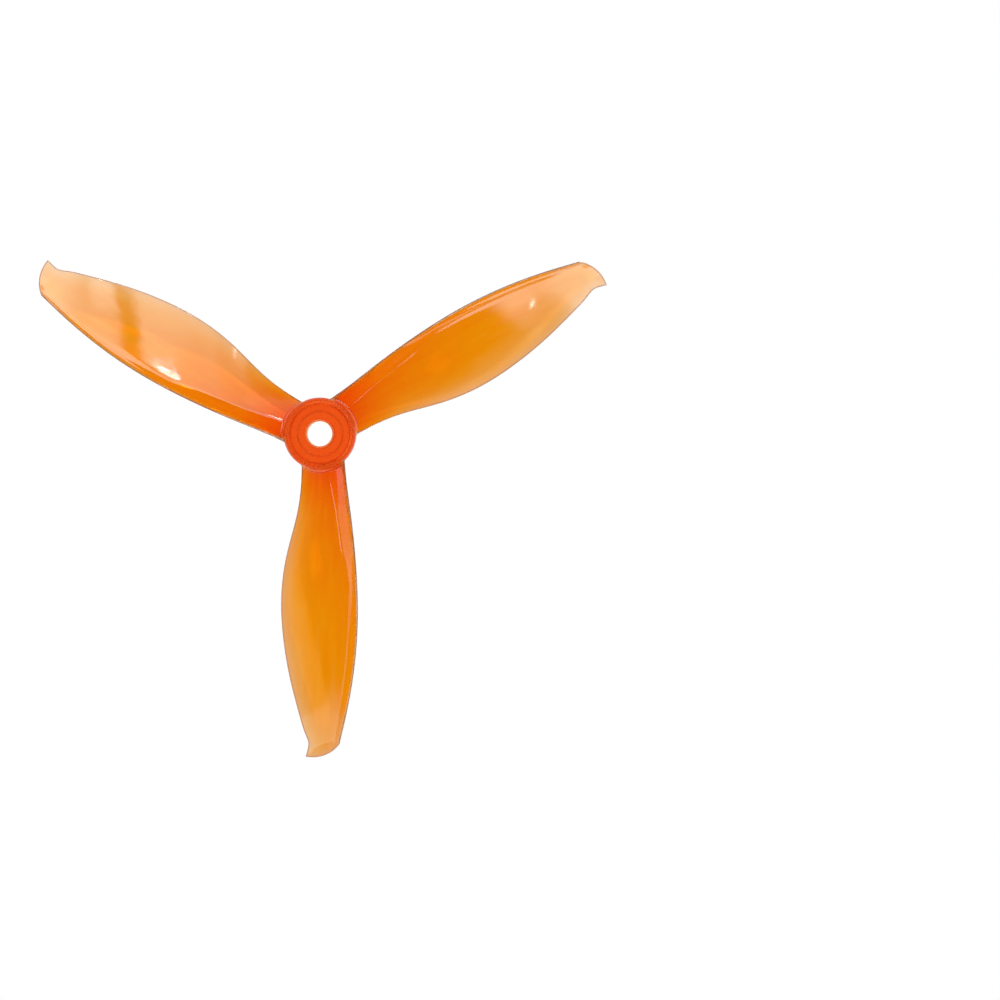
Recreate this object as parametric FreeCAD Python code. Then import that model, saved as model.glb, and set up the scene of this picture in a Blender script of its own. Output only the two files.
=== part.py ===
import FreeCAD, Part

import math
import os

# Three-bladed multirotor propeller, 5.1 inch, injection moulded in one shot of clear orange
# polycarbonate. The moulding is drawn as the features that make it up: a hub of three rings
# (bore sleeve, rim and top plate) and three blades, each a thick root, an aerofoil and a swept tip.
# They meet face to face.
#
# Frame: millimetres, origin on the bore axis at the hub's underside, which sits on the motor.
# +Z is the thrust axis. Blade 1 lies along +X. The propeller turns counter-clockwise seen from +Z.

Vector = FreeCAD.Vector
Z_AXIS = Vector(0, 0, 1)

# Whole propeller
BLADE_COUNT = 3
TIP_RADIUS = 64.75

# Hub
HUB_HEIGHT = 7.0
HUB_RADIUS = 7.25
HUB_EDGE_ROUND = 1.3
BORE_RADIUS = 2.52
BORE_CHAMFER = 0.4
SLEEVE_RADIUS = 4.4
RIM_INNER_RADIUS = 6.0
TOP_PLATE_THICKNESS = 2.6

# Blade stations, root to tip. In the blade's own frame x is the radius, +y the leading edge side.
#   radius, leading edge y, trailing edge y, pitch angle (deg), greatest thickness, mid-chord height
STATIONS = [
    (3.0, 4.8, -3.5, 33.0, 2.6, 3.45),
    (9.0, 5.6, -3.35, 32.0, 2.15, 3.55),
    (16.0, 6.85, -3.95, 30.5, 1.8, 4.0),
    (24.0, 8.05, -5.7, 28.0, 1.6, 4.45),
    (33.0, 8.9, -6.55, 25.0, 1.42, 4.5),
    (42.0, 9.0, -5.7, 22.8, 1.3, 4.35),
    (50.0, 8.35, -3.95, 20.8, 1.17, 4.2),
    (57.0, 7.25, -1.8, 18.8, 1.05, 4.1),
    (60.0, 6.65, -0.7, 17.9, 1.0, 3.95),
    (62.0, 6.25, 0.05, 17.4, 0.95, 3.8),
    (63.0, 6.05, -0.02, 17.1, 0.9, 3.65),
    (66.0, 5.2, -0.85, 16.0, 0.8, 3.1),
]

# The skin is lofted through sections this far apart, closer together from FINE_FROM out to the tip
COARSE_STEP = 3.0
FINE_STEP = 1.0
FINE_FROM = 57.0

# Section: an elliptical nose, then a flat top over an underside that rises to a blunt trailing edge.
# The nose is a share of the chord, more of it near the root; the edge, of the greatest thickness.
NOSE_RADII = (9.0, 16.0, 30.0)
NOSE_SHARES = (0.18, 0.22, 0.14)
TRAILING_EDGE_SHARE = 0.35
SIDE_POINTS = 16

# Where the root ends and the tip begins, along the radius
ROOT_END = 15.0
TIP_START = 60.0

# The tip is trimmed by an arc that runs from the leading edge round to a sharp trailing corner
TIP_ARC_RADIUS = 6.6
TIP_ARC_CENTRE_Y = 0.8
TIP_CORNER_Y = -0.6

# Farther than the blade's section reaches from its own axis, for the shapes that cut it
REACH = 20.0

# Closer than this, two lengths are the same
TOLERANCE = 1e-6


def smooth_curve(radii, values):
    """A function of radius through the stations, with continuous curvature (natural cubic spline)."""
    count = len(radii)
    gaps = [radii[i + 1] - radii[i] for i in range(count - 1)]
    slopes = [(values[i + 1] - values[i]) / gaps[i] for i in range(count - 1)]
    upper = [0.0] * count
    right = [0.0] * count
    for i in range(1, count - 1):
        pivot = 2 * (gaps[i - 1] + gaps[i]) - gaps[i - 1] * upper[i - 1]
        upper[i] = gaps[i] / pivot
        right[i] = (6 * (slopes[i] - slopes[i - 1]) - gaps[i - 1] * right[i - 1]) / pivot
    bend = [0.0] * count
    for i in range(count - 2, 0, -1):
        bend[i] = right[i] - upper[i] * bend[i + 1]

    def value(radius):
        i = max(j for j in range(count - 1) if j == 0 or radii[j] <= radius)
        a = radius - radii[i]
        b = radii[i + 1] - radius
        cubic = (bend[i] * b**3 + bend[i + 1] * a**3) / (6 * gaps[i])
        linear = (values[i] / gaps[i] - bend[i] * gaps[i] / 6) * b
        return cubic + linear + (values[i + 1] / gaps[i] - bend[i + 1] * gaps[i] / 6) * a

    return value


RADII = [row[0] for row in STATIONS]
leading_edge, trailing_edge, pitch, thickness, height = [
    smooth_curve(RADII, [row[column] for row in STATIONS]) for column in range(1, 6)
]


def straight_steps(radius, radii, values):
    """The value at a radius, in straight lines between those given and constant beyond them."""
    if radius <= radii[0]:
        return values[0]
    for i in range(len(radii) - 1):
        if radius <= radii[i + 1]:
            way = (radius - radii[i]) / (radii[i + 1] - radii[i])
            return values[i] + (values[i + 1] - values[i]) * way
    return values[-1]


def section_shares(radius, s):
    """Height of the top above the chord, and thickness, at a share s of the chord from the nose.

    Both are shares of the greatest thickness.
    """
    nose = straight_steps(radius, NOSE_RADII, NOSE_SHARES)
    front = math.sqrt(1 - max(1 - s / nose, 0) ** 2)
    behind = max(s - nose, 0) / (1 - nose)
    top = front / 2 - (1 - TRAILING_EDGE_SHARE) / 2 * s
    return top, front - (1 - TRAILING_EDGE_SHARE) * behind**3


def section_point(radius, s, on_top):
    """A point of the blade's skin, on the suction side (the top) or on the pressure side."""
    lead = leading_edge(radius)
    trail = trailing_edge(radius)
    angle = math.radians(pitch(radius))
    chord = (lead - trail) / math.cos(angle)
    top, full = section_shares(radius, s)
    offset = thickness(radius) * (top if on_top else top - full)
    along = (0.5 - s) * chord
    middle = (lead + trail) / 2
    y = middle + along * math.cos(angle) - offset * math.sin(angle)
    z = height(radius) + along * math.sin(angle) + offset * math.cos(angle)
    return Vector(radius, y, z)


def blade_section(radius):
    """The closed aerofoil outline in the plane x = radius."""
    shares = [(1 - math.cos(math.pi * i / SIDE_POINTS)) / 2 for i in range(SIDE_POINTS + 1)]
    top = [section_point(radius, s, True) for s in reversed(shares)]
    bottom = [section_point(radius, s, False) for s in shares[1:]]
    skin = Part.BSplineCurve()
    skin.interpolate(top + bottom)
    blunt_edge = Part.LineSegment(bottom[-1], top[0])
    return Part.Wire([skin.toShape(), blunt_edge.toShape()])


def evenly(start, end, step):
    """Values from start to just before end, a step apart."""
    return [start + step * i for i in range(round((end - start) / step))]


def untrimmed_blade():
    """The blade's skin lofted from inside the hub to past the tip."""
    inner = evenly(RADII[0], FINE_FROM, COARSE_STEP)
    outer = evenly(FINE_FROM, RADII[-1], FINE_STEP)
    sections = [blade_section(radius) for radius in inner + outer + [RADII[-1]]]
    return Part.makeLoft(sections, True, False)


def tip_trim():
    """A prism over everything inboard of the tip arc."""
    centre = Vector(TIP_RADIUS - TIP_ARC_RADIUS, TIP_ARC_CENTRE_Y, -REACH)
    drop = TIP_CORNER_Y - TIP_ARC_CENTRE_Y
    corner = Vector(centre.x + math.sqrt(TIP_ARC_RADIUS**2 - drop**2), TIP_CORNER_Y, -REACH)
    outermost = centre + Vector(TIP_ARC_RADIUS, 0, 0)
    crown = centre + Vector(0, TIP_ARC_RADIUS, 0)
    outline = [
        Part.LineSegment(Vector(0, -REACH, -REACH), Vector(corner.x, -REACH, -REACH)),
        Part.LineSegment(Vector(corner.x, -REACH, -REACH), corner),
        Part.Arc(corner, outermost, crown),
        Part.LineSegment(crown, Vector(crown.x, REACH, -REACH)),
        Part.LineSegment(Vector(crown.x, REACH, -REACH), Vector(0, REACH, -REACH)),
        Part.LineSegment(Vector(0, REACH, -REACH), Vector(0, -REACH, -REACH)),
    ]
    face = Part.Face(Part.Wire([piece.toShape() for piece in outline]))
    return face.extrude(Vector(0, 0, 2 * REACH))


def ring(inner_radius, outer_radius, bottom, top):
    """An upright ring about the bore axis."""
    outer = Part.makeCylinder(outer_radius, top - bottom, Vector(0, 0, bottom))
    inner = Part.makeCylinder(inner_radius, top - bottom, Vector(0, 0, bottom))
    return outer.cut(inner)


def circle_edges(shape, radius, z):
    """The shape's round edges of that radius at that height."""
    return [
        edge
        for edge in shape.Edges
        if isinstance(edge.Curve, Part.Circle)
        and abs(edge.Curve.Radius - radius) < TOLERANCE
        and abs(edge.Curve.Center.z - z) < TOLERANCE
    ]


def hub_envelope():
    """The hub with no hollows: what the blades end on."""
    block = Part.makeCylinder(HUB_RADIUS, HUB_HEIGHT)
    return block.makeFillet(HUB_EDGE_ROUND, circle_edges(block, HUB_RADIUS, HUB_HEIGHT))


def bore_sleeve():
    """The boss round the motor shaft, the hub's full height, with a lead-in at each end."""
    sleeve = ring(BORE_RADIUS, SLEEVE_RADIUS, 0, HUB_HEIGHT)
    mouths = circle_edges(sleeve, BORE_RADIUS, 0) + circle_edges(sleeve, BORE_RADIUS, HUB_HEIGHT)
    return sleeve.makeChamfer(BORE_CHAMFER, mouths)


def hub_rim():
    """The outer wall, from the motor seat up to the top plate."""
    return ring(RIM_INNER_RADIUS, HUB_RADIUS, 0, HUB_HEIGHT - TOP_PLATE_THICKNESS)


def hub_top_plate():
    """The plate that bridges sleeve and rim, under the propeller nut, with a rounded outer edge."""
    plate = ring(SLEEVE_RADIUS, HUB_RADIUS, HUB_HEIGHT - TOP_PLATE_THICKNESS, HUB_HEIGHT)
    return plate.makeFillet(HUB_EDGE_ROUND, circle_edges(plate, HUB_RADIUS, HUB_HEIGHT))


def span_slab(start, end):
    """A box that holds the stretch of blade between two radii."""
    return Part.makeBox(end - start, 2 * REACH, 2 * REACH, Vector(start, -REACH, -REACH))


def blade_features():
    """The three stretches of blade 1, by the name each adds to its blade's."""
    blade = untrimmed_blade().common(tip_trim()).cut(hub_envelope())
    return {
        "_root": blade.common(span_slab(0, ROOT_END)),
        "": blade.common(span_slab(ROOT_END, TIP_START)),
        "_tip": blade.common(span_slab(TIP_START, TIP_RADIUS + REACH)),
    }


def propeller():
    """Every node by name."""
    nodes = {"bore_sleeve": bore_sleeve(), "hub_rim": hub_rim(), "hub_top_plate": hub_top_plate()}
    features = blade_features()
    for number in range(BLADE_COUNT):
        for name, shape in features.items():
            turned = shape.copy()
            turned.rotate(Vector(), Z_AXIS, 360 * number / BLADE_COUNT)
            nodes[f"blade_{number + 1}{name}"] = turned
    return nodes


os.makedirs("parts", exist_ok=True)
for node, shape in propeller().items():
    solids = shape.Solids
    box = shape.BoundBox
    print(
        f"{node:16s} solids {len(solids)} valid {shape.isValid()} volume {shape.Volume:8.2f}"
        f" z {box.ZMin:.2f} to {box.ZMax:.2f}"
    )
    solids[0].exportStep(f"parts/{node}.step")
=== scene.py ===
import math

import bmesh
import bpy
import numpy as np
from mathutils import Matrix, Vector


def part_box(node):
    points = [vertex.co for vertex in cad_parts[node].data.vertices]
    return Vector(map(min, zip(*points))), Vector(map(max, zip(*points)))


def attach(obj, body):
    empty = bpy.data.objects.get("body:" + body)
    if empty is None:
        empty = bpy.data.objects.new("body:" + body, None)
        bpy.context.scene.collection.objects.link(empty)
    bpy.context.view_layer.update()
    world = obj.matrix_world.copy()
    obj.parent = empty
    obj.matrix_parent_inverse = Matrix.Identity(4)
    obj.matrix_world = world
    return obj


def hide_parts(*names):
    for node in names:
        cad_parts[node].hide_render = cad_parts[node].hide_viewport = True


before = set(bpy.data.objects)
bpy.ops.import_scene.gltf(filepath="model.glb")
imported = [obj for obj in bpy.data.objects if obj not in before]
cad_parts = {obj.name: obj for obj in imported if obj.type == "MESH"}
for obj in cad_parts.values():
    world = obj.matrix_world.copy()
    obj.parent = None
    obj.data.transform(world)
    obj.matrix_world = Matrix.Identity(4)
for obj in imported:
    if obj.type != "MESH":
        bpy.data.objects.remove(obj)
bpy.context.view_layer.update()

# A clear orange polycarbonate propeller, lying hub down on a bright white table and seen from above.
#
# Shapes are worked out in millimetres, in the part's own frame (origin on the bore axis at the
# hub's underside, +Z up, blade 1 along +X), and turned to metres when a mesh is made.

MM = 0.001
TINY = 1e-9
BLADE_COUNT = 3

# Hub, read from the CAD nodes
HUB_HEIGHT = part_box("bore_sleeve")[1].z / MM
SLEEVE_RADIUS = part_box("bore_sleeve")[1].y / MM
HUB_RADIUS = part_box("hub_rim")[1].y / MM
PLATE_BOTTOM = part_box("hub_top_plate")[0].z / MM
BORE_RADIUS = 2.52
BORE_CHAMFER = 0.4
RIM_INNER_RADIUS = 6.0
HUB_EDGE_ROUND = 1.3
MOULD_ROUND = 0.18

# Blade stations, the part's own: in the blade's frame x is the radius, +y the leading edge side.
#   radius, leading edge y, trailing edge y, pitch angle (deg), greatest thickness, mid-chord height
STATIONS = [
    (3.0, 4.8, -3.5, 33.0, 2.6, 3.45),
    (9.0, 5.6, -3.35, 32.0, 2.15, 3.55),
    (16.0, 6.85, -3.95, 30.5, 1.8, 4.0),
    (24.0, 8.05, -5.7, 28.0, 1.6, 4.45),
    (33.0, 8.9, -6.55, 25.0, 1.42, 4.5),
    (42.0, 9.0, -5.7, 22.8, 1.3, 4.35),
    (50.0, 8.35, -3.95, 20.8, 1.17, 4.2),
    (57.0, 7.25, -1.8, 18.8, 1.05, 4.1),
    (60.0, 6.65, -0.7, 17.9, 1.0, 3.95),
    (62.0, 6.25, 0.05, 17.4, 0.95, 3.8),
    (63.0, 6.05, -0.02, 17.1, 0.9, 3.65),
    (66.0, 5.2, -0.85, 16.0, 0.8, 3.1),
]
NOSE_RADII = (9.0, 16.0, 30.0)
NOSE_SHARES = (0.18, 0.22, 0.14)
TRAILING_EDGE_SHARE = 0.35

# The tip ends on an arc, and its last stretch droops
TIP_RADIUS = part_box("blade_1_tip")[1].x / MM
TIP_ARC_RADIUS = 6.6
TIP_ARC_CENTRE = (TIP_RADIUS - TIP_ARC_RADIUS, 0.8)
TIP_DROOP_SLOPE = 0.13
TIP_DROOP_REACH = 2.1
TIP_DROOP_MIDDLE = 2.9
TIP_DROOP_HALF_WIDTH = 3.1

# Moulded roundings. The fillet where a blade meets the hub fades in over these stretches, measured
# down from the hub's top and up from its underside, from a radius too small to see.
EDGE_ROUND = 0.2
ROOT_FILLET = 0.6
SMALLEST_FILLET = 1e-6
FILLET_FADE_FROM_TOP = (0.4, 1.4)
FILLET_FADE_FROM_BOTTOM = (0.2, 0.9)

# The facet ahead of a crease along the leading edge, which fades out between two radii. The crease
# lies a share of the chord behind the leading edge, given at radii.
FACET_SLOPE = 0.3
FACET_FADE = (18.0, 31.0)
CREASE_RADII = (6.0, 14.0, 20.0, 28.0)
CREASE_SHARES = (0.39, 0.26, 0.2, 0.155)
CREASE_ROUND = 0.25

# Hairline between a blade's root and the hub, so that two clear solids never share a face
ROOT_GAP = 0.01

# Painted depth of the colour, as shares of the greatest thickness. Over the front of the chord it
# eases off behind the leading edge, then it follows the thickness of the section.
DEPTH_FRONT = 0.3
DEPTH_AT_EDGE = 1.1
DEPTH_EASE = 3
DEPTH_LEAST = 0.4
DEPTH_WITH_SECTION = 0.6

# How much deeper the colour looks toward the root and the tip: radii, and shares at them. Over the
# hub's edge it starts from nothing, within this distance either side.
DEEPER = ((8.0, 12.0, 16.0, 38.0, 54.0), (1.18, 1.1, 1.0, 1.0, 1.12))
DEPTH_START = 0.2

# Widths of the painted dark shade along the edges and of the band along the trailing edge and the tip,
# and the stretch of the radius over which the band comes in
EDGE_SHADE_WIDTH = 0.22
TRAILING_BAND = 1.2
TRAILING_FROM = (10.0, 26.0)

# Mesh density. Along the span the rows crowd at both ends: (how many times closer, over what share)
SPAN_STEPS = 150
CHORD_STEPS = 48
CAP_STEPS = 4
HUB_SEGMENTS = 180
HUB_EDGE_STEPS = 16
CORNER_STEPS = 6
CROWD_AT_ROOT = (12.0, 0.01)
CROWD_AT_TIP = (8.0, 0.02)
CROWD_SAMPLES = 4001

# Where each line along the blade meets the hub or the tip arc is found by halving, this many times.
# At the tip the search reaches this far beyond it, in millimetres.
BISECTIONS = 40
BEYOND_TIP = 1.0

# Points of the tip's edge closer than this, in millimetres, are made one
MERGE_DISTANCE = 1e-3

# Edges sharper than these angles, in degrees, are shaded as creases
BLADE_CREASE_ANGLE = 50
HUB_CREASE_ANGLE = 35
STAGE_CREASE_ANGLE = 30

# Light lost per millimetre of plastic in red, green and blue, the share that gets through the two
# skins, and the share cut off because the orange is deeper than a screen can show
ABSORPTION = (0.02, 0.91, 2.3)
THROUGH_SKINS = 0.93
CUT = (0.0, 0.0, 0.045)

# Tints. The hub's gloss is tinted too, so that its rim doesn't turn pink under the light panels.
HUB_TINT = (0.97, 0.098, 0.0085)
HUB_CLOUD = (0.96, 0.85, 1.0)
HUB_GLOSS_TINT = (1.0, 0.3, 0.1)
INNER_WALL_TINT = (1.0, 0.6, 0.3)
# Colour of the painted shade along the blade's edges: a dark line painted in where the rounded edges bend
# the light away
EDGE_SHADE_TINT = (0.36, 0.15, 0.08)
TRAILING_TINT = (0.8, 0.42, 0.28)
# How strongly the painted edge shade is laid on, then the trailing band
EDGE_SHADE_STRENGTH = 0.85
TRAILING_STRENGTH = 0.55
REFRACTIVE_INDEX = 1.585

# Noise textures as (scale, detail). Those along the flow of the plastic are stretched along the
# blade and scaled in millimetres, the others in metres.
FLOW_STREAKS = (1.0, 3.0)
FLOW_STREAKS_STRETCH = (0.12, 0.8, 0.8)
FLOW_WAVES = (1.0, 1.0)
FLOW_WAVES_STRETCH = (0.1, 0.25, 0.25)
SMUDGES = (160.0, 4.0)
GRAIN = (2500.0, 3.0)
HUB_CLOUDS = (300.0, 3.0)
HUB_FROST = (500.0, 4.0)
HUB_GRAIN = (3500.0, 2.0)

# What the textures do: share of the depth of colour, roughness, and height of bumps in metres
STREAK_DEPTH = (0.93, 1.07)
BLADE_ROUGHNESS = (0.03, 0.09)
HUB_ROUGHNESS = (0.2, 0.3)
WAVE_BUMP = 1e-5
GRAIN_BUMP = 5e-7
HUB_BUMP = 2e-6

# Nearly all of a noise texture's values lie between these
NOISE_RANGE = (0.3, 0.7)

# A Mix node's sockets share their names between types, so its colour sockets go by number
MIX_COLOUR_INPUTS = (6, 7)
MIX_COLOUR_OUTPUT = 2

# Picture: the camera looks straight down, and blade 1 points this far above its right-hand side
IMAGE_TURN = math.radians(27.8)
IMAGE_WIDTH = 0.2
PROPELLER_IN_IMAGE = (-0.036, 0.01323)
CAMERA_DISTANCE = 1.5
CAMERA_CLIP = (0.01, 20.0)
SENSOR = 0.036

# Light bounces many times between a clear blade's two skins
LIGHT_BOUNCES = 32

# White table: radius in metres, and how far under the hub it lies, in millimetres
TABLE_RADIUS = 5.0
TABLE_SEGMENTS = 128
TABLE_DROP = 0.05

# Light panels, and the lamps in front of them
SOFTBOX_DISTANCE = 2.5
LAMP_DISTANCE = 2.4
SOFTBOX_STEPS = 40
DAYLIGHT = (0.82, 1.0, 0.98)
FEATHER = 0.6
EVEN_GLOW = ((0, 1), (90, 1))

# Glow of the room at heights above the horizon, as the sine of the angle
ROOM_GLOW = ((0.2, 1.0), (0.26, 0.2), (0.3, 0.04), (0.5, 0.03))


# ---------------------------------------------------------------- blade shape


def smooth_curve(radii, values):
    """A function of radius through the stations, with continuous curvature (natural cubic spline)."""
    gaps = np.diff(radii)
    slopes = np.diff(values) / gaps
    between = np.diag(gaps[1:-1], 1) + np.diag(gaps[1:-1], -1)
    bend = np.zeros(len(radii))
    bend[1:-1] = np.linalg.solve(np.diag(2 * (gaps[:-1] + gaps[1:])) + between, 6 * np.diff(slopes))

    def value(radius):
        i = np.clip(np.searchsorted(radii, radius, side="right") - 1, 0, len(gaps) - 1)
        a = radius - radii[i]
        b = radii[i + 1] - radius
        cubic = (bend[i] * b**3 + bend[i + 1] * a**3) / (6 * gaps[i])
        linear = (values[i] / gaps[i] - bend[i] * gaps[i] / 6) * b
        return cubic + linear + (values[i + 1] / gaps[i] - bend[i + 1] * gaps[i] / 6) * a

    return value


RADII, *COLUMNS = np.array(STATIONS).T
leading_edge, trailing_edge, pitch, thickness, height = [smooth_curve(RADII, c) for c in COLUMNS]


def smooth_step(start, end, value):
    """0 before start, 1 past end, smooth between."""
    t = np.clip((value - start) / (end - start), 0, 1)
    return t * t * (3 - 2 * t)


def rounding(distance, radius):
    """Share of the full thickness this far in from a rounded edge."""
    inside = 1 - np.clip(distance / radius, 0, 1)
    return np.sqrt(1 - inside**2)


def nose_share(x):
    """Share of the chord that the rounded nose takes up."""
    return np.interp(x, NOSE_RADII, NOSE_SHARES)


def section(x, s):
    """Top of the section, and its thickness, at a share s of the chord behind the leading edge.

    Both are shares of the greatest thickness. The top is flat behind an elliptical nose, and the
    underside rises to a thin trailing edge, whose middle is on the chord line.
    """
    nose = nose_share(x)
    front = rounding(s, nose)
    behind = np.clip(s - nose, 0, 1) / (1 - nose)
    top = front / 2 - (1 - TRAILING_EDGE_SHARE) / 2 * s
    return top, front - (1 - TRAILING_EDGE_SHARE) * behind**3


def tip_distance(x, y):
    """How far inboard of the tip arc a point is."""
    over, up = x - TIP_ARC_CENTRE[0], y - TIP_ARC_CENTRE[1]
    return np.maximum(TIP_ARC_RADIUS - np.hypot(np.maximum(over, 0), up), -over)


def rounded_ramp(past, radius):
    """0 before a crease and the distance past it beyond, rounded this far either side."""
    rounded = (past + radius) ** 2 / (4 * radius)
    return np.where(past > radius, past, np.where(past > -radius, rounded, 0))


def tip_droop(inboard, y):
    """How far the tip's outer edge drops, beyond a curved crease."""
    across = np.clip((y - TIP_DROOP_MIDDLE) / TIP_DROOP_HALF_WIDTH, -1, 1)
    return TIP_DROOP_SLOPE * rounded_ramp(TIP_DROOP_REACH * (1 - across**2) - inboard, CREASE_ROUND)


def facet_drop(x, behind_edge, chord):
    """How far the blade's top falls away ahead of the crease, at a distance behind the leading edge."""
    crease = np.interp(x, CREASE_RADII, CREASE_SHARES) * chord
    slope = FACET_SLOPE * (1 - smooth_step(*FACET_FADE, x))
    return slope * rounded_ramp(crease - behind_edge, CREASE_ROUND)


def across(x, s):
    """Where the chord line is, across the blade, a share s of the chord behind the leading edge."""
    return leading_edge(x) + s * (trailing_edge(x) - leading_edge(x))


def colour_depth(x, s, full):
    """Depth of the colour, in millimetres, where the section has a share full of its thickness."""
    over_front = DEPTH_AT_EDGE - s / DEPTH_EASE
    deep = np.where(s < DEPTH_FRONT, over_front, DEPTH_LEAST + DEPTH_WITH_SECTION * full)
    return deep * thickness(x) * np.interp(x, *DEEPER)


def skin(x, u):
    """Points of the blade's skin, as (y, z, paint).

    u runs round the section: -1 at the trailing edge, over the underside to 0 at the leading edge,
    and back over the top to 1. The paint is the depth of the colour, then how near the point is to the
    edges, which sets the painted dark shade there, and how near to the trailing edge or the tip, as
    shares.
    """
    s = np.abs(u)
    angle = np.radians(pitch(x))
    chord = (leading_edge(x) - trailing_edge(x)) / np.cos(angle)
    along = (0.5 - s) * chord
    flat_y = across(x, s)
    inboard = tip_distance(x, flat_y)
    top, full = section(x, s)
    tip_edge = rounding(inboard, EDGE_ROUND)
    centre = (top - full / 2) * thickness(x) * tip_edge
    half = full / 2 * thickness(x) * tip_edge * rounding((1 - s) * chord, EDGE_ROUND)
    drop = rounding(s, nose_share(x)) * facet_drop(x, s * chord, chord)
    offset = centre + np.where(u < 0, -half, half - drop)
    y = flat_y - offset * np.sin(angle)
    z = height(x) + along * np.sin(angle) + offset * np.cos(angle) - tip_droop(inboard, flat_y)
    depth = colour_depth(x, s, full)
    from_outline = np.minimum(np.minimum(s, 1 - s) * chord, inboard)
    # Painted shade along the edges: strongest on them, gone a little more than its width in
    edge_shade = np.exp(-((from_outline / EDGE_SHADE_WIDTH) ** 2))
    from_trailing = np.minimum((1 - s) * chord, inboard)
    trailing = np.exp(-np.maximum(from_trailing, 0) / TRAILING_BAND) * smooth_step(*TRAILING_FROM, x)
    return y, z, np.stack(np.broadcast_arrays(depth, edge_shade, trailing), axis=-1)


def hub_surface(z):
    """Radius of the hub's outside at a height."""
    over = np.clip(z - (HUB_HEIGHT - HUB_EDGE_ROUND), 0, HUB_EDGE_ROUND)
    return HUB_RADIUS - HUB_EDGE_ROUND + np.sqrt(HUB_EDGE_ROUND**2 - over**2)


def from_hub(x, y, z):
    """Distance outward from the hub's outside."""
    return np.hypot(x, y) - hub_surface(z) - ROOT_GAP


def find_zero(function, low, high):
    """Where a rising function of x crosses zero, for each element."""
    for _ in range(BISECTIONS):
        middle = (low + high) / 2
        rising = function(middle) < 0
        low = np.where(rising, middle, low)
        high = np.where(rising, high, middle)
    return (low + high) / 2


def clustered(count, start, end):
    """count + 1 shares from 0 to 1, closer together at both ends.

    start and end are each (how many times closer, over what share).
    """
    even = np.linspace(0, 1, CROWD_SAMPLES)
    density = 1 + start[0] * np.exp(-even / start[1]) + end[0] * np.exp((even - 1) / end[1])
    total = np.cumsum(density)
    return np.interp(np.linspace(0, 1, count + 1), (total - total[0]) / (total[-1] - total[0]), even)


def add_root_fillet(points):
    """Swells the skin where it meets the hub, so that the two join in a concave curve."""
    x, y, z = points[..., 0], points[..., 1], points[..., 2]
    along = np.roll(points, -1, axis=1) - np.roll(points, 1, axis=1)
    length = np.hypot(along[..., 1], along[..., 2]) + TINY
    out_y, out_z = along[..., 2] / length, -along[..., 1] / length
    facing = np.clip(out_y * y / np.hypot(x, y), 0, 1)
    start, full = FILLET_FADE_FROM_TOP
    room = smooth_step(HUB_HEIGHT - start, HUB_HEIGHT - full, z) * smooth_step(*FILLET_FADE_FROM_BOTTOM, z)
    radius = ROOT_FILLET * (1 - facing) * room + SMALLEST_FILLET
    inside = np.clip(1 - from_hub(x, y, z) / radius, 0, 1)
    swell = radius - np.sqrt(radius**2 * (1 - inside**2))
    points[..., 1] += swell * out_y
    points[..., 2] += swell * out_z


def put_on_hub(points):
    """Moves points in or out until they lie on the hub's outside."""
    radius = hub_surface(points[..., 2]) + ROOT_GAP
    points[..., :2] *= (radius / np.hypot(points[..., 0], points[..., 1]))[..., None]


def blade_grid():
    """The skin as rows from hub to tip, each once round the section: points, paint and flow."""
    s = (1 - np.cos(np.linspace(0, np.pi, CHORD_STEPS + 1))) / 2
    u = np.concatenate([-s[::-1], s[1:-1]])
    root = find_zero(
        lambda x: from_hub(x, *skin(x, u)[:2]),
        np.full(u.shape, RADII[0]),
        np.full(u.shape, RADII[1]),
    )
    tip = find_zero(
        lambda x: -tip_distance(x, across(x, np.abs(u))),
        np.full(u.shape, TIP_ARC_CENTRE[0]),
        np.full(u.shape, TIP_RADIUS + BEYOND_TIP),
    )
    share = clustered(SPAN_STEPS, CROWD_AT_ROOT, CROWD_AT_TIP)[:, None]
    x = root + (tip - root) * share
    y, z, paint = skin(x, u)
    points = np.stack([x, y, z], axis=-1)
    flow = points.copy()
    add_root_fillet(points)
    put_on_hub(points[0])
    radius = np.hypot(points[..., 0], points[..., 1])
    paint[..., 0] *= smooth_step(HUB_RADIUS - DEPTH_START, HUB_RADIUS + DEPTH_START, radius)
    return points, paint, flow


# ---------------------------------------------------------------- meshes


def finish_mesh(name, bm, crease_angle):
    """A smooth-shaded object from a bmesh, its faces turned outward."""
    bmesh.ops.recalc_face_normals(bm, faces=bm.faces)
    mesh = bpy.data.meshes.new(name)
    bm.to_mesh(mesh)
    bm.free()
    mesh.shade_smooth()
    mesh.set_sharp_from_angle(angle=math.radians(crease_angle))
    piece = bpy.data.objects.new(name, mesh)
    bpy.context.scene.collection.objects.link(piece)
    return piece


def close_at_hub(bm, add, root_points, root_row):
    """Caps a blade on the hub: strips between each underside point and the top point above it."""
    strips = []
    for k in range(1, CHORD_STEPS):
        below, above = CHORD_STEPS - k, CHORD_STEPS + k
        inside = np.linspace(root_points[below], root_points[above], CAP_STEPS + 1)[1:-1]
        put_on_hub(inside)
        strip = [add(p, (0.0, 0.0, 0.0), p) for p in inside]
        strips.append([root_row[below], *strip, root_row[above]])
    for one, two in zip(strips, strips[1:]):
        for k in range(CAP_STEPS):
            bm.faces.new((one[k], one[k + 1], two[k + 1], two[k]))
    for edge, strip in ((root_row[CHORD_STEPS], strips[0]), (root_row[0], strips[-1])):
        for k in range(CAP_STEPS):
            bm.faces.new((edge, strip[k], strip[k + 1]))


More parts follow.
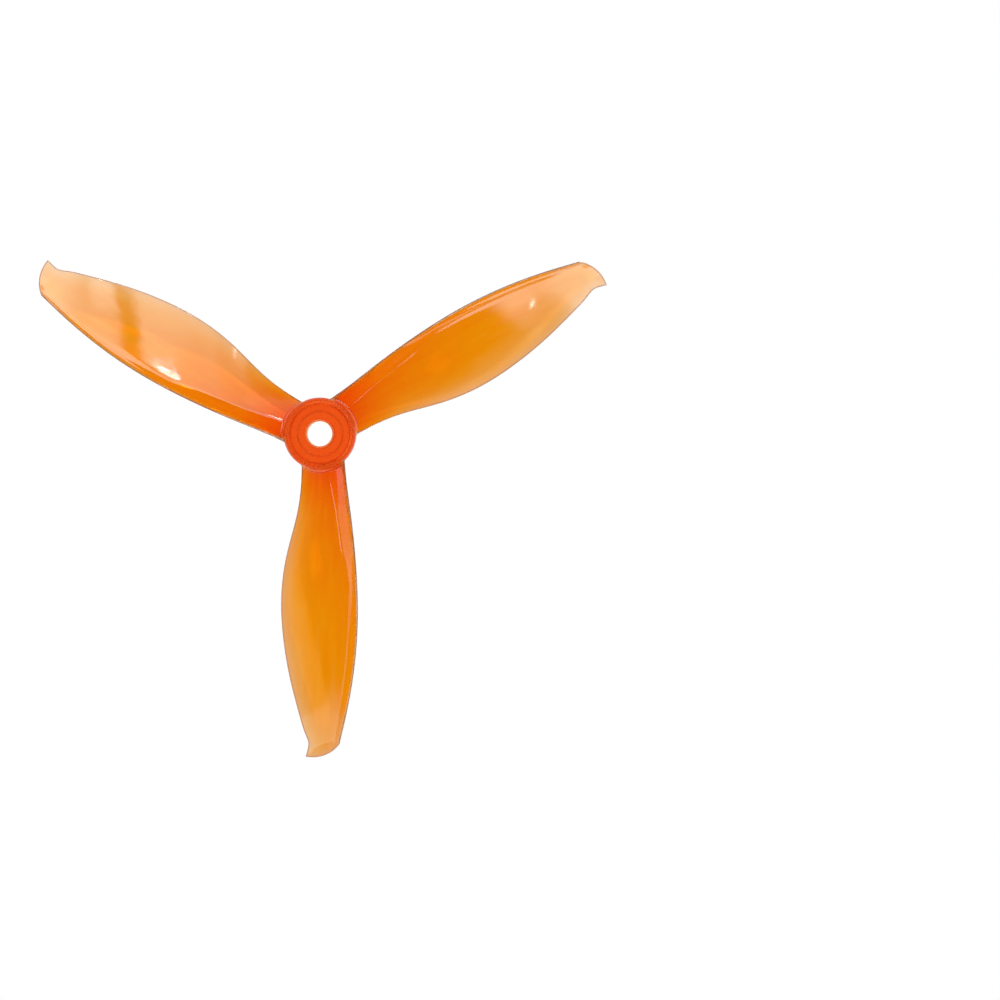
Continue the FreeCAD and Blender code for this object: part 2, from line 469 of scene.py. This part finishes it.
def make_blade(name, number):
    """One blade, root to tip, closed where it meets the hub."""
    points, paint, flow = blade_grid()
    turn = 2 * math.pi * number / BLADE_COUNT
    cos, sin = math.cos(turn), math.sin(turn)
    rotate = np.array([[cos, sin, 0], [-sin, cos, 0], [0, 0, 1]])
    round_count = points.shape[1]
    bm = bmesh.new()
    paint_layer = bm.verts.layers.float_vector.new("paint")
    flow_layer = bm.verts.layers.float_vector.new("flow")

    def add(point, point_paint, point_flow):
        vert = bm.verts.new(Vector(point @ rotate) * MM)
        vert[paint_layer] = point_paint
        vert[flow_layer] = point_flow
        return vert

    rows = [[add(*values) for values in zip(*row)] for row in zip(points, paint, flow)]
    for inner, outer in zip(rows, rows[1:]):
        for j in range(round_count):
            k = (j + 1) % round_count
            bm.faces.new((inner[j], inner[k], outer[k], outer[j]))
    close_at_hub(bm, add, points[0], rows[0])

    # Top and underside meet along the tip
    bmesh.ops.remove_doubles(bm, verts=rows[-1], dist=MERGE_DISTANCE * MM)
    return finish_mesh(name, bm, BLADE_CREASE_ANGLE)


def arc(centre, radius, start, end, steps=CORNER_STEPS):
    """Points of a round corner in the (radius, height) plane; angles in degrees from outward."""
    angles = [math.radians(start + (end - start) * i / steps) for i in range(steps + 1)]
    return [(centre[0] + radius * math.cos(a), centre[1] + radius * math.sin(a)) for a in angles]


def hub_profile():
    """Half section of the hub, once round: bore, top, outer wall, and the groove underneath."""
    r = MOULD_ROUND
    top = HUB_HEIGHT
    wide, narrow = BORE_RADIUS + BORE_CHAMFER, BORE_RADIUS
    return (
        [(wide, 0.0), (narrow, BORE_CHAMFER), (narrow, top - BORE_CHAMFER), (wide, top)]
        + arc((HUB_RADIUS - HUB_EDGE_ROUND, top - HUB_EDGE_ROUND), HUB_EDGE_ROUND, 90, 0, HUB_EDGE_STEPS)
        + arc((HUB_RADIUS - r, r), r, 0, -90)
        + arc((RIM_INNER_RADIUS + r, r), r, -90, -180)
        + arc((RIM_INNER_RADIUS - r, PLATE_BOTTOM - r), r, 0, 90)
        + arc((SLEEVE_RADIUS + r, PLATE_BOTTOM - r), r, 90, 180)
        + arc((SLEEVE_RADIUS - r, r), r, 0, -90)
    )


def on_inner_wall(r, z):
    """Whether a point of the profile is on the wall of the bore or of the groove."""
    in_bore = r <= BORE_RADIUS
    in_groove = SLEEVE_RADIUS <= r <= RIM_INNER_RADIUS and MOULD_ROUND <= z <= PLATE_BOTTOM - MOULD_ROUND
    return in_bore or in_groove


def make_hub(name):
    """The hub, turned from its profile."""
    profile = hub_profile()
    bm = bmesh.new()
    layer = bm.verts.layers.float.new("inner_wall")
    rings = []
    for i in range(HUB_SEGMENTS):
        angle = 2 * math.pi * i / HUB_SEGMENTS
        cos, sin = math.cos(angle), math.sin(angle)
        ring = []
        for r, z in profile:
            vert = bm.verts.new(Vector((r * cos, r * sin, z)) * MM)
            vert[layer] = float(on_inner_wall(r, z))
            ring.append(vert)
        rings.append(ring)
    for one, two in zip(rings, rings[1:] + rings[:1]):
        for k in range(len(profile)):
            after = (k + 1) % len(profile)
            bm.faces.new((one[k], two[k], two[after], one[after]))
    return finish_mesh(name, bm, HUB_CREASE_ANGLE)


# ---------------------------------------------------------------- materials


def new_material(name):
    """A node material: its nodes, its links and its Principled shader."""
    material = bpy.data.materials.new(name)
    material.use_nodes = True
    tree = material.node_tree
    return material, tree.nodes, tree.links, tree.nodes["Principled BSDF"]


def noise(nodes, links, coordinates, texture_kind, stretch=None):
    """A noise value over the given coordinates; its features are about 1 / scale across."""
    texture = nodes.new("ShaderNodeTexNoise")
    scale, detail = texture_kind
    texture.inputs["Scale"].default_value = scale
    texture.inputs["Detail"].default_value = detail
    source = coordinates
    if stretch is not None:
        mapping = nodes.new("ShaderNodeMapping")
        mapping.inputs["Scale"].default_value = stretch
        links.new(coordinates, mapping.inputs["Vector"])
        source = mapping.outputs["Vector"]
    links.new(source, texture.inputs["Vector"])
    return texture.outputs["Fac"]


def math_node(nodes, links, operation, *values):
    """The result of a Math node, whose inputs are numbers or other nodes' outputs."""
    node = nodes.new("ShaderNodeMath")
    node.operation = operation
    for socket, value in zip(node.inputs, values):
        if isinstance(value, (int, float)):
            socket.default_value = value
        else:
            links.new(value, socket)
    return node.outputs["Value"]


def remap(nodes, links, value, low, high):
    """A noise value, stretched to run from low to high."""
    node = nodes.new("ShaderNodeMapRange")
    node.inputs["From Min"].default_value = NOISE_RANGE[0]
    node.inputs["From Max"].default_value = NOISE_RANGE[1]
    node.inputs["To Min"].default_value = low
    node.inputs["To Max"].default_value = high
    links.new(value, node.inputs["Value"])
    return node.outputs["Result"]


def attribute(nodes, name, output="Fac"):
    """A value stored on the mesh."""
    node = nodes.new("ShaderNodeAttribute")
    node.attribute_name = name
    return node.outputs[output]


def mix_colour(nodes, links, factor, one, two):
    """A blend of two colours, each a constant or another node's output."""
    node = nodes.new("ShaderNodeMix")
    node.data_type = "RGBA"
    for number, colour in zip(MIX_COLOUR_INPUTS, (one, two)):
        if isinstance(colour, tuple):
            node.inputs[number].default_value = (*colour, 1.0)
        else:
            links.new(colour, node.inputs[number])
    links.new(factor, node.inputs["Factor"])
    return node.outputs[MIX_COLOUR_OUTPUT]


def object_coordinates(nodes):
    """The object's own coordinates, in metres."""
    return nodes.new("ShaderNodeTexCoord").outputs["Object"]


def tint_through(nodes, links, depth):
    """Colour of white light after a depth of plastic, in millimetres."""
    combine = nodes.new("ShaderNodeCombineColor")
    for channel, loss, cut in zip(("Red", "Green", "Blue"), ABSORPTION, CUT):
        exponent = math_node(nodes, links, "MULTIPLY", depth, -loss)
        inside = math_node(nodes, links, "EXPONENT", exponent)
        left = math_node(nodes, links, "MULTIPLY", inside, THROUGH_SKINS)
        shown = math_node(nodes, links, "SUBTRACT", left, cut)
        links.new(math_node(nodes, links, "MAXIMUM", shown, 0.0), combine.inputs[channel])
    return combine.outputs["Color"]


def add_bump(nodes, links, shader, layers):
    """Stacks bumps on the shader; each layer is (height value, distance in metres)."""
    normal = None
    for value, distance in layers:
        bump = nodes.new("ShaderNodeBump")
        bump.inputs["Distance"].default_value = distance
        links.new(value, bump.inputs["Height"])
        if normal is not None:
            links.new(normal, bump.inputs["Normal"])
        normal = bump.outputs["Normal"]
    links.new(normal, shader.inputs["Normal"])


def blade_material():
    """Clear orange polycarbonate, deeper where it is thicker, with faint flow and handling marks, and a
    painted dark shade along its edges.
    """
    material, nodes, links, shader = new_material("orange_polycarbonate_blade")
    place = object_coordinates(nodes)
    paint = nodes.new("ShaderNodeSeparateXYZ")
    links.new(attribute(nodes, "paint", "Vector"), paint.inputs["Vector"])
    flow = attribute(nodes, "flow", "Vector")
    streaks = noise(nodes, links, flow, FLOW_STREAKS, FLOW_STREAKS_STRETCH)
    streaks = remap(nodes, links, streaks, *STREAK_DEPTH)
    depth = math_node(nodes, links, "MULTIPLY", paint.outputs["X"], streaks)
    # Strength of the painted dark shade along the edges
    edge_shade = math_node(nodes, links, "MULTIPLY", paint.outputs["Y"], EDGE_SHADE_STRENGTH)
    trailing = math_node(nodes, links, "MULTIPLY", paint.outputs["Z"], TRAILING_STRENGTH)
    colour = mix_colour(nodes, links, trailing, tint_through(nodes, links, depth), TRAILING_TINT)
    # The painted dark shade along the edges goes over the colour of the plastic
    colour = mix_colour(nodes, links, edge_shade, colour, EDGE_SHADE_TINT)
    links.new(colour, shader.inputs["Base Color"])
    shader.inputs["Transmission Weight"].default_value = 1.0
    shader.inputs["IOR"].default_value = REFRACTIVE_INDEX
    smudges = noise(nodes, links, place, SMUDGES)
    links.new(remap(nodes, links, smudges, *BLADE_ROUGHNESS), shader.inputs["Roughness"])
    waves = noise(nodes, links, flow, FLOW_WAVES, FLOW_WAVES_STRETCH)
    grain = noise(nodes, links, place, GRAIN)
    add_bump(nodes, links, shader, [(waves, WAVE_BUMP), (grain, GRAIN_BUMP)])
    return material


def hub_material():
    """The same plastic 7 mm deep: a glowing orange red that hides what is under it."""
    material, nodes, links, shader = new_material("orange_polycarbonate_hub")
    place = object_coordinates(nodes)
    deeper = tuple(part * share for part, share in zip(HUB_TINT, HUB_CLOUD))
    cloud = remap(nodes, links, noise(nodes, links, place, HUB_CLOUDS), 0.0, 1.0)
    colour = mix_colour(nodes, links, cloud, HUB_TINT, deeper)
    colour = mix_colour(nodes, links, attribute(nodes, "inner_wall"), colour, INNER_WALL_TINT)
    links.new(colour, shader.inputs["Base Color"])
    shader.inputs["Transmission Weight"].default_value = 1.0
    shader.inputs["IOR"].default_value = REFRACTIVE_INDEX
    shader.inputs["Specular Tint"].default_value = (*HUB_GLOSS_TINT, 1.0)
    frost = noise(nodes, links, place, HUB_FROST)
    links.new(remap(nodes, links, frost, *HUB_ROUGHNESS), shader.inputs["Roughness"])
    add_bump(nodes, links, shader, [(noise(nodes, links, place, HUB_GRAIN), HUB_BUMP)])
    return material


def emission_material(name, colour, strength):
    """A surface that only gives off light."""
    material, _, _, shader = new_material(name)
    shader.inputs["Base Color"].default_value = (0.0, 0.0, 0.0, 1.0)
    shader.inputs["Specular IOR Level"].default_value = 0.0
    shader.inputs["Roughness"].default_value = 1.0
    shader.inputs["Emission Color"].default_value = (*colour, 1.0)
    shader.inputs["Emission Strength"].default_value = strength
    return material


# ---------------------------------------------------------------- propeller


def build_propeller():
    """The hub and the blades, in the places of the CAD nodes."""
    hub = make_hub("propeller_hub")
    hub.data.materials.append(hub_material())
    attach(hub, "root")
    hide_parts("bore_sleeve", "hub_rim", "hub_top_plate")
    plastic = blade_material()
    for number in range(BLADE_COUNT):
        node = f"blade_{number + 1}"
        blade = make_blade(f"propeller_{node}", number)
        blade.data.materials.append(plastic)
        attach(blade, "root")
        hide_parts(f"{node}_root", node, f"{node}_tip")


# ---------------------------------------------------------------- studio


def build_floor():
    """A round white light table, a hair below the hub."""
    bm = bmesh.new()
    bmesh.ops.create_circle(bm, cap_ends=True, segments=TABLE_SEGMENTS, radius=TABLE_RADIUS)
    bmesh.ops.translate(bm, verts=bm.verts, vec=(0, 0, -TABLE_DROP * MM))
    floor = finish_mesh("floor", bm, STAGE_CREASE_ANGLE)
    floor.data.materials.append(emission_material("white_table", (1.0, 1.0, 1.0), 1.0))


def sky_direction(azimuth, off):
    """A direction in the sky, in degrees round from blade 1 and degrees off the vertical."""
    around, down = math.radians(azimuth), math.radians(off)
    level = Vector((math.cos(around), math.sin(around), 0)) * math.sin(down)
    return level + Vector((0, 0, math.cos(down)))


def softbox(name, columns, feather=FEATHER, falloff=EVEN_GLOW, distance=SOFTBOX_DISTANCE):
    """A light panel in the sky, which lights and reflects but which the camera sees past.

    Each column is (degrees round from blade 1, degrees off the vertical from and to, radiance). The
    panel fills the sky between the columns, and fades over the feather, in degrees. The falloff
    gives shares of the radiance at degrees off the vertical.
    """
    bm = bmesh.new()
    layer = bm.verts.layers.float.new("glow")
    azimuths, froms, tos, radiances = zip(*columns)
    grid = []
    for azimuth in np.linspace(azimuths[0], azimuths[-1], SOFTBOX_STEPS + 1):
        start, end, radiance = (np.interp(azimuth, azimuths, row) for row in (froms, tos, radiances))
        line = []
        for off in np.linspace(start, end, SOFTBOX_STEPS + 1):
            vert = bm.verts.new(sky_direction(azimuth, off) * distance)
            inside = min(azimuth - azimuths[0], azimuths[-1] - azimuth, abs(off - start), abs(off - end))
            share = np.interp(off, *zip(*falloff))
            vert[layer] = float(radiance * share * smooth_step(0, feather, inside))
            line.append(vert)
        grid.append(line)
    for one, two in zip(grid, grid[1:]):
        for j in range(SOFTBOX_STEPS):
            bm.faces.new((one[j], one[j + 1], two[j + 1], two[j]))
    panel = finish_mesh(name, bm, STAGE_CREASE_ANGLE)
    panel.data.materials.append(softbox_material(name))
    panel.visible_camera = False
    panel.visible_shadow = False


def softbox_material(name):
    """A surface that gives off daylight, as bright as the mesh says at each point."""
    material, nodes, links, shader = new_material(name)
    shader.inputs["Base Color"].default_value = (0.0, 0.0, 0.0, 1.0)
    shader.inputs["Specular IOR Level"].default_value = 0.0
    shader.inputs["Emission Color"].default_value = (*DAYLIGHT, 1.0)
    links.new(attribute(nodes, "glow"), shader.inputs["Emission Strength"])
    return material


def left_softbox():
    """The panel that whitens blade 2 from root to mid-span, dimmer toward the horizon."""
    columns = [(-15, 44, 61, 1), (21, 44, 63.5, 1.2), (24, 44, 65.2, 0.8), (27, 44, 66.8, 0.8)]
    columns += [(29.5, 44, 68.3, 1.1), (33, 44, 71.5, 1), (36, 44, 76, 1), (38, 45.3, 76, 1)]
    columns += [(39.5, 46.4, 76, 1), (40.6, 47.2, 76, 1), (42, 48.6, 76, 1)]
    columns += [(43, 49.9, 76, 1), (44.2, 50.7, 76, 1), (50, 51, 76, 1)]
    dimmer = ((48, 3.8), (52, 3.0), (55, 2.3), (60, 1.9), (63, 1.6), (67, 1.4), (70, 0.8), (76, 0.5))
    softbox("softbox_left", columns, falloff=dimmer)


def right_softbox():
    """The panel above it, past a dark bar, which whitens the outer end of blade 2."""
    columns = [(38.3, 44.2, 42, 4.6), (39.1, 44.9, 42, 4.6), (40.6, 45.8, 42, 4.6), (42.2, 46.9, 42, 4.0)]
    columns += [(43.5, 47.8, 42, 2.6), (44.4, 48.5, 41.5, 2.7), (45.5, 49.1, 40, 3.1), (49, 49.5, 37, 4.0)]
    columns += [(53, 50, 33, 4.5), (58, 50, 29, 4.0), (64, 50, 20, 4.0), (90, 50, 18, 4.0)]
    softbox("softbox_right", columns)


def front_softbox():
    """The panel that whitens the outer end of blade 1."""
    columns = [(-84.5, 47, 38, 0), (-82.5, 47, 38, 0.7), (-81, 47.5, 38, 1.3), (-79.3, 48, 38, 2.0)]
    columns += [(-77.8, 48.5, 38, 3.8), (-73, 48.5, 38, 3.8), (-68, 48.5, 34, 3.8), (-64, 48.5, 22, 3.6)]
    columns += [(-58, 48.5, 17, 3.6), (-20, 48.5, 17, 3.0)]
    softbox("softbox_front", columns, 2.2)


def light_strips():
    """Panels for the facets along the leading edges of blades 1 and 3, and for the tip of blade 3."""
    front = [(-125, 17, 27, 1.6), (-78, 17, 27, 1.6), (-75, 17, 36, 1.6), (-70, 17, 38, 1.6)]
    softbox("strip_front", front, 2)
    softbox("softbox_side_tip", [(160, 40, 47, 1.0), (180, 40, 47, 1.4)], 2.5)
    side = [(118, 25, 34, 0.8), (130, 25, 34.5, 0.9), (137, 25, 36.5, 1.1), (145, 25, 38.5, 1.5)]
    side += [(155, 25, 42, 1.5), (166, 25, 42, 1.3)]
    softbox("strip_side", side, 1.5)


def lamp(name, columns, feather):
    """A small bright light in front of the panels."""
    softbox(name, columns, feather, distance=LAMP_DISTANCE)


def bare_lamps():
    """Lamps that light the creases of blades 1 and 3 at the root, then those of the white glints."""
    lamp("lamp_crease_side", [(136, 44, 54, 2.5), (147.5, 44, 54, 2.5)], 2)
    lamp("lamp_crease_front", [(-99, 44, 54, 2.0), (-91, 44, 54, 2.0)], 2)
    lamp("lamp_streak", [(39.7, 55.5, 55.7, 130), (42.95, 52.05, 52.25, 130)], 0.04)
    lamp("lamp_trailing", [(22.0, 59.8, 61.2, 14), (23.0, 59.8, 61.2, 14)], 0.3)
    lamp("lamp_root", [(33.6, 61, 66, 30), (36.8, 61, 66, 30)], 0.5)
    lamp("lamp_front", [(-79.7, 44.6, 44.0, 25), (-79.1, 44.6, 44.0, 25)], 0.1)


def build_lights():
    """The panels and lamps of the sky; their columns are as softbox says."""
    left_softbox()
    right_softbox()
    front_softbox()
    light_strips()
    bare_lamps()


def build_world():
    """A dim room above a bright horizon."""
    world = bpy.data.worlds.new("studio")
    bpy.context.scene.world = world
    world.use_nodes = True
    nodes, links = world.node_tree.nodes, world.node_tree.links
    direction = nodes.new("ShaderNodeTexCoord").outputs["Generated"]
    split = nodes.new("ShaderNodeSeparateXYZ")
    links.new(direction, split.inputs["Vector"])
    ramp = nodes.new("ShaderNodeValToRGB")
    links.new(split.outputs["Z"], ramp.inputs["Fac"])
    points = ramp.color_ramp.elements
    while len(points) < len(ROOM_GLOW):
        points.new(ROOM_GLOW[-1][0])
    for point, (rise, glow) in zip(points, ROOM_GLOW):
        point.position = rise
        point.color = (glow, glow, glow, 1.0)
    links.new(ramp.outputs["Color"], nodes["Background"].inputs["Color"])


def build_camera():
    """Straight down, turned and placed so that the propeller lies left of the middle."""
    cos, sin = math.cos(IMAGE_TURN), math.sin(IMAGE_TURN)
    right, up = Vector((cos, -sin, 0)), Vector((sin, cos, 0))
    data = bpy.data.cameras.new("camera")
    data.sensor_width = SENSOR / MM
    data.lens = SENSOR / MM * CAMERA_DISTANCE / IMAGE_WIDTH
    data.clip_start, data.clip_end = CAMERA_CLIP
    camera = bpy.data.objects.new("camera", data)
    middle = -right * PROPELLER_IN_IMAGE[0] - up * PROPELLER_IN_IMAGE[1]
    camera.location = middle + Vector((0, 0, HUB_HEIGHT / 2 * MM + CAMERA_DISTANCE))
    camera.rotation_euler = (0, 0, -IMAGE_TURN)
    bpy.context.scene.collection.objects.link(camera)
    bpy.context.scene.camera = camera


build_propeller()
build_floor()
build_lights()
build_world()
build_camera()
bpy.context.scene.view_settings.view_transform = "Standard"
bpy.context.scene.cycles.max_bounces = LIGHT_BOUNCES
bpy.context.scene.cycles.glossy_bounces = LIGHT_BOUNCES
bpy.context.scene.cycles.transmission_bounces = LIGHT_BOUNCES
